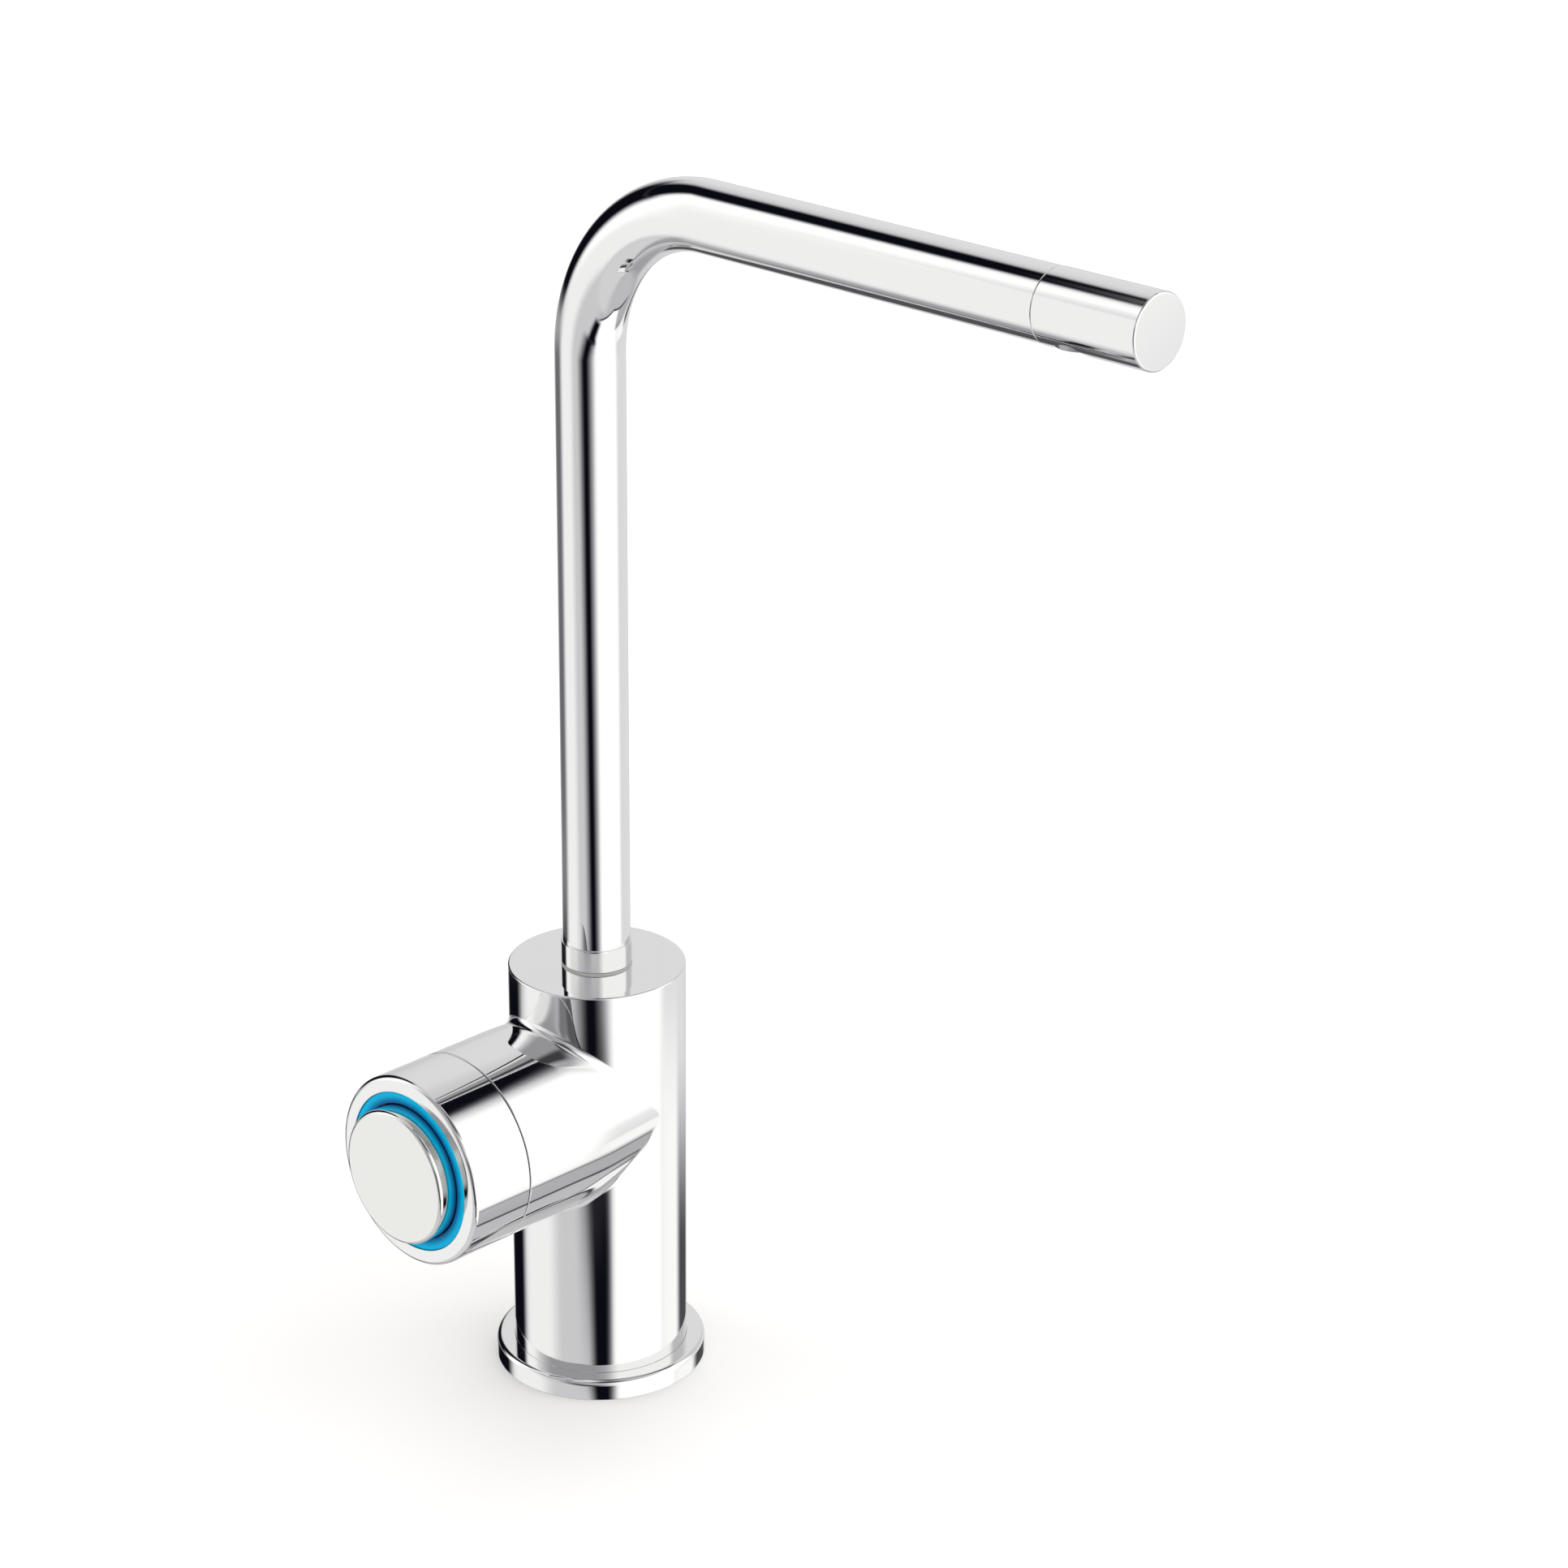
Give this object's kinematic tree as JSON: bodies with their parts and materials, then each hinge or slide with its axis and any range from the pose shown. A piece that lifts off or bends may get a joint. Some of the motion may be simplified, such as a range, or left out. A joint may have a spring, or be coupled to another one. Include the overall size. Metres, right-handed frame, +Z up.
{
  "type": "water filter faucet",
  "caption": "Single-hole drinking-water faucet with an upright body, a swivelling L-shaped spout, a side knob with a blue ring and a push button, and a threaded shank.",
  "frame": {"origin": "on the axis of the body, at the worktop's surface", "axes": "+Z up along the body, the spout's arm along -Y at rest, the side branch and its knob along -X"},
  "size_m": [0.1072, 0.2216, 0.4162],
  "materials": {
    "polished_chrome": "mirror-polished chrome plating on brass",
    "satin_chrome": "bright chrome plating",
    "plain_brass": "turned brass",
    "plain_steel": "plain stainless steel",
    "black_rubber": "smooth rubber",
    "white_plastic": "moulded acetal",
    "ceramic": "lapped alumina",
    "blue_plastic": "glossy blue moulding"
  },
  "bodies": {
    "faucet_body": {"base_flange": "polished_chrome", "base_gasket": "black_rubber", "body_casting": "polished_chrome", "threaded_shank": "plain_brass", "rubber_washer": "black_rubber", "clamp_washer": "plain_steel", "fixing_nut": "plain_brass", "glide_washer": "white_plastic", "spout_lock_screw": "plain_steel", "cartridge_base": "white_plastic", "seat_seals": "black_rubber", "fixed_ceramic_disc": "ceramic", "cartridge_body": "white_plastic", "cartridge_nut": "plain_brass"},
    "spout": {"spout_collar": "polished_chrome", "spout_tube": "polished_chrome", "spout_foot": "plain_brass", "spout_seals": "black_rubber", "outlet_cap": "polished_chrome", "aerator_housing": "polished_chrome", "aerator_washer": "black_rubber", "aerator_insert": "white_plastic"},
    "knob": {"knob_sleeve": "polished_chrome", "knob_nut": "plain_brass", "marker_ring": "blue_plastic", "valve_spindle": "plain_brass", "spindle_seal": "black_rubber", "moving_ceramic_disc": "ceramic", "button_spring": "plain_steel"},
    "button": {"push_button": "satin_chrome", "button_stem": "plain_steel"}
  },
  "joints": [
    {"name": "spout_swivel", "type": "hinge", "parent": "faucet_body", "child": "spout", "pos_m": [0, 0, 0.1], "axis": [0, 0, 1], "range_deg": [-90, 90]},
    {"name": "knob_turn", "type": "hinge", "parent": "faucet_body", "child": "knob", "pos_m": [-0.03, 0, 0.0845], "axis": [-1, 0, 0], "range_deg": [0, 90]},
    {"name": "button_push", "type": "slide", "parent": "knob", "child": "button", "axis": [1, 0, 0], "range_m": [0, 0.003], "stiffness_N_per_m": 500, "springref_m": -0.003, "deforming": ["button_spring"]}
  ]
}
